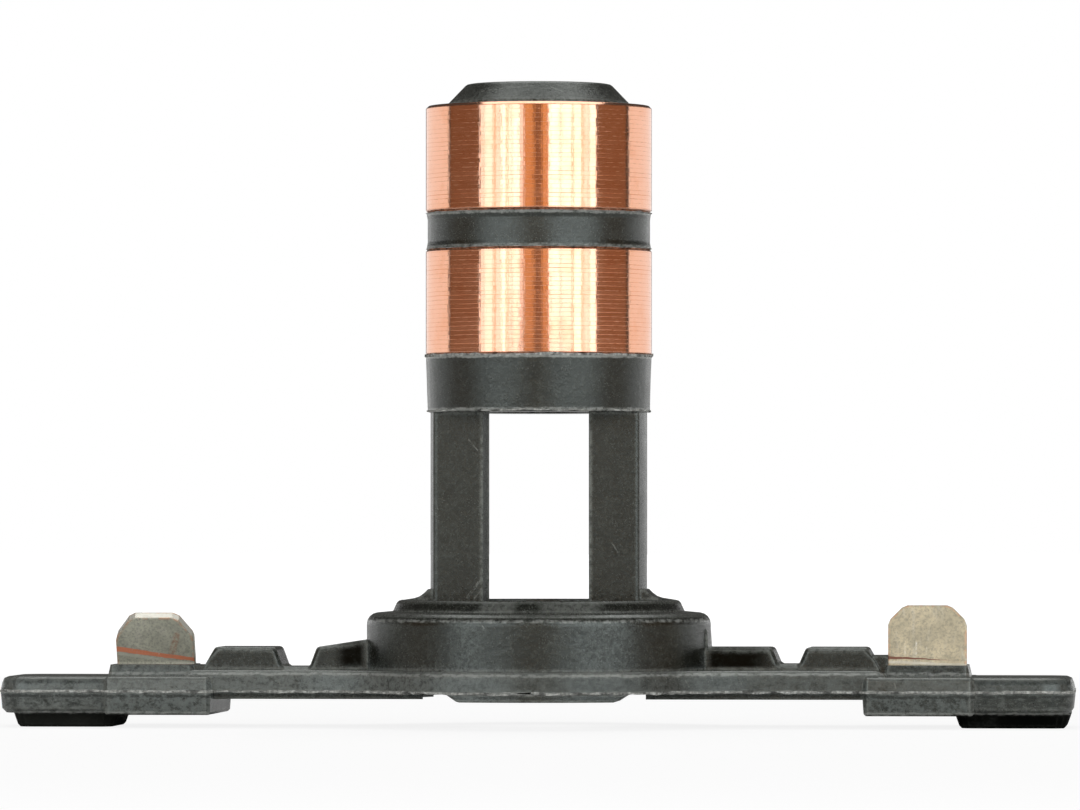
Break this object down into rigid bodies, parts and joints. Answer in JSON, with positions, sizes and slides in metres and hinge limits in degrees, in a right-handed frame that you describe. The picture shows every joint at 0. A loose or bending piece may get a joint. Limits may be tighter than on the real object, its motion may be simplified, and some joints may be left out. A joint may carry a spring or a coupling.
{
  "type": "alternator slip ring",
  "caption": "Alternator slip ring unit: copper rings on a black moulded tube, legs that pass under a bearing, and a round base with an arm and terminal on either side.",
  "frame": {"origin": "on the shaft bore's axis, level with the undersides of the two feet", "axes": "+Z along the bore towards the nose, +X along the arm that carries the lower ring's terminal, +Y across the arms"},
  "size_m": [0.0734, 0.0252, 0.044],
  "materials": {
    "black_moulding": "satin",
    "turned_copper": "polished",
    "tinned_copper": "satin"
  },
  "bodies": {
    "root": {"moulded_body": "black_moulding", "upper_slip_ring": "turned_copper", "lower_slip_ring": "turned_copper", "upper_ring_lead": "tinned_copper", "lower_ring_lead": "tinned_copper"}
  },
  "joints": []
}
